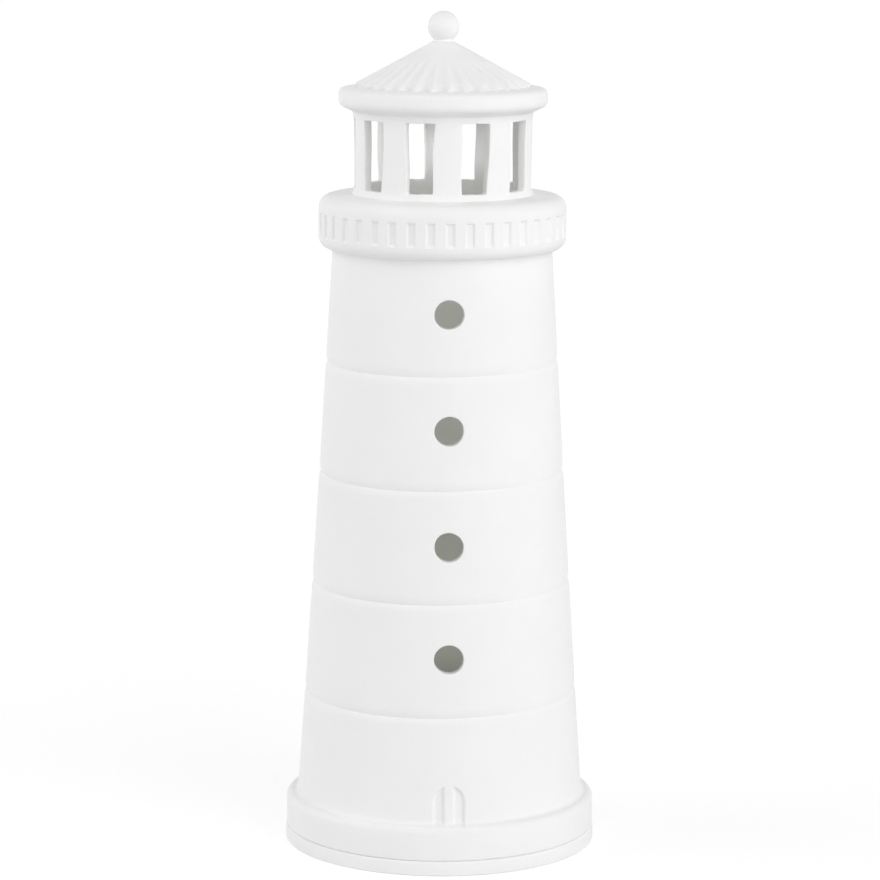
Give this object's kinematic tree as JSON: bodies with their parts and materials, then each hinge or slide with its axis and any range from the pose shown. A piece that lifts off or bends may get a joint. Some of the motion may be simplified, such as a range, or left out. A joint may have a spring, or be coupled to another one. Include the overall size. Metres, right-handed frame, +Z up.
{
  "type": "lighthouse candle holder",
  "caption": "White bisque porcelain lighthouse: banded tower with portholes, open lantern room and ribbed roof, lifted off a plate that holds a tealight.",
  "frame": {"origin": "centre of the plate's foot ring, on the surface that it stands on", "axes": "+Z up along the axis of the tower, the door and the portholes face -Y, +X to the right seen from the front"},
  "size_m": [0.1066, 0.1066, 0.2849],
  "materials": {
    "porcelain": "matte white bisque porcelain",
    "cup": "thin pressed aluminium",
    "wax": "white paraffin wax",
    "sustainer": "tinned steel",
    "wick": "braided cotton"
  },
  "bodies": {
    "base": {"base_plate": "porcelain"},
    "tower": {"tower_shell": "porcelain", "gallery_ring": "porcelain", "lantern_room": "porcelain", "roof": "porcelain", "finial": "porcelain"},
    "tealight": {"tealight_cup": "cup", "candle_wax": "wax", "wick_sustainer": "sustainer", "wick": "wick"}
  },
  "joints": [
    {"name": "tower_lift", "type": "slide", "parent": "base", "child": "tower", "axis": [0, 0, 1], "range_m": [0, 0.1]},
    {"name": "tealight_lift", "type": "slide", "parent": "base", "child": "tealight", "axis": [0, 0, 1], "range_m": [0, 0.03]}
  ]
}
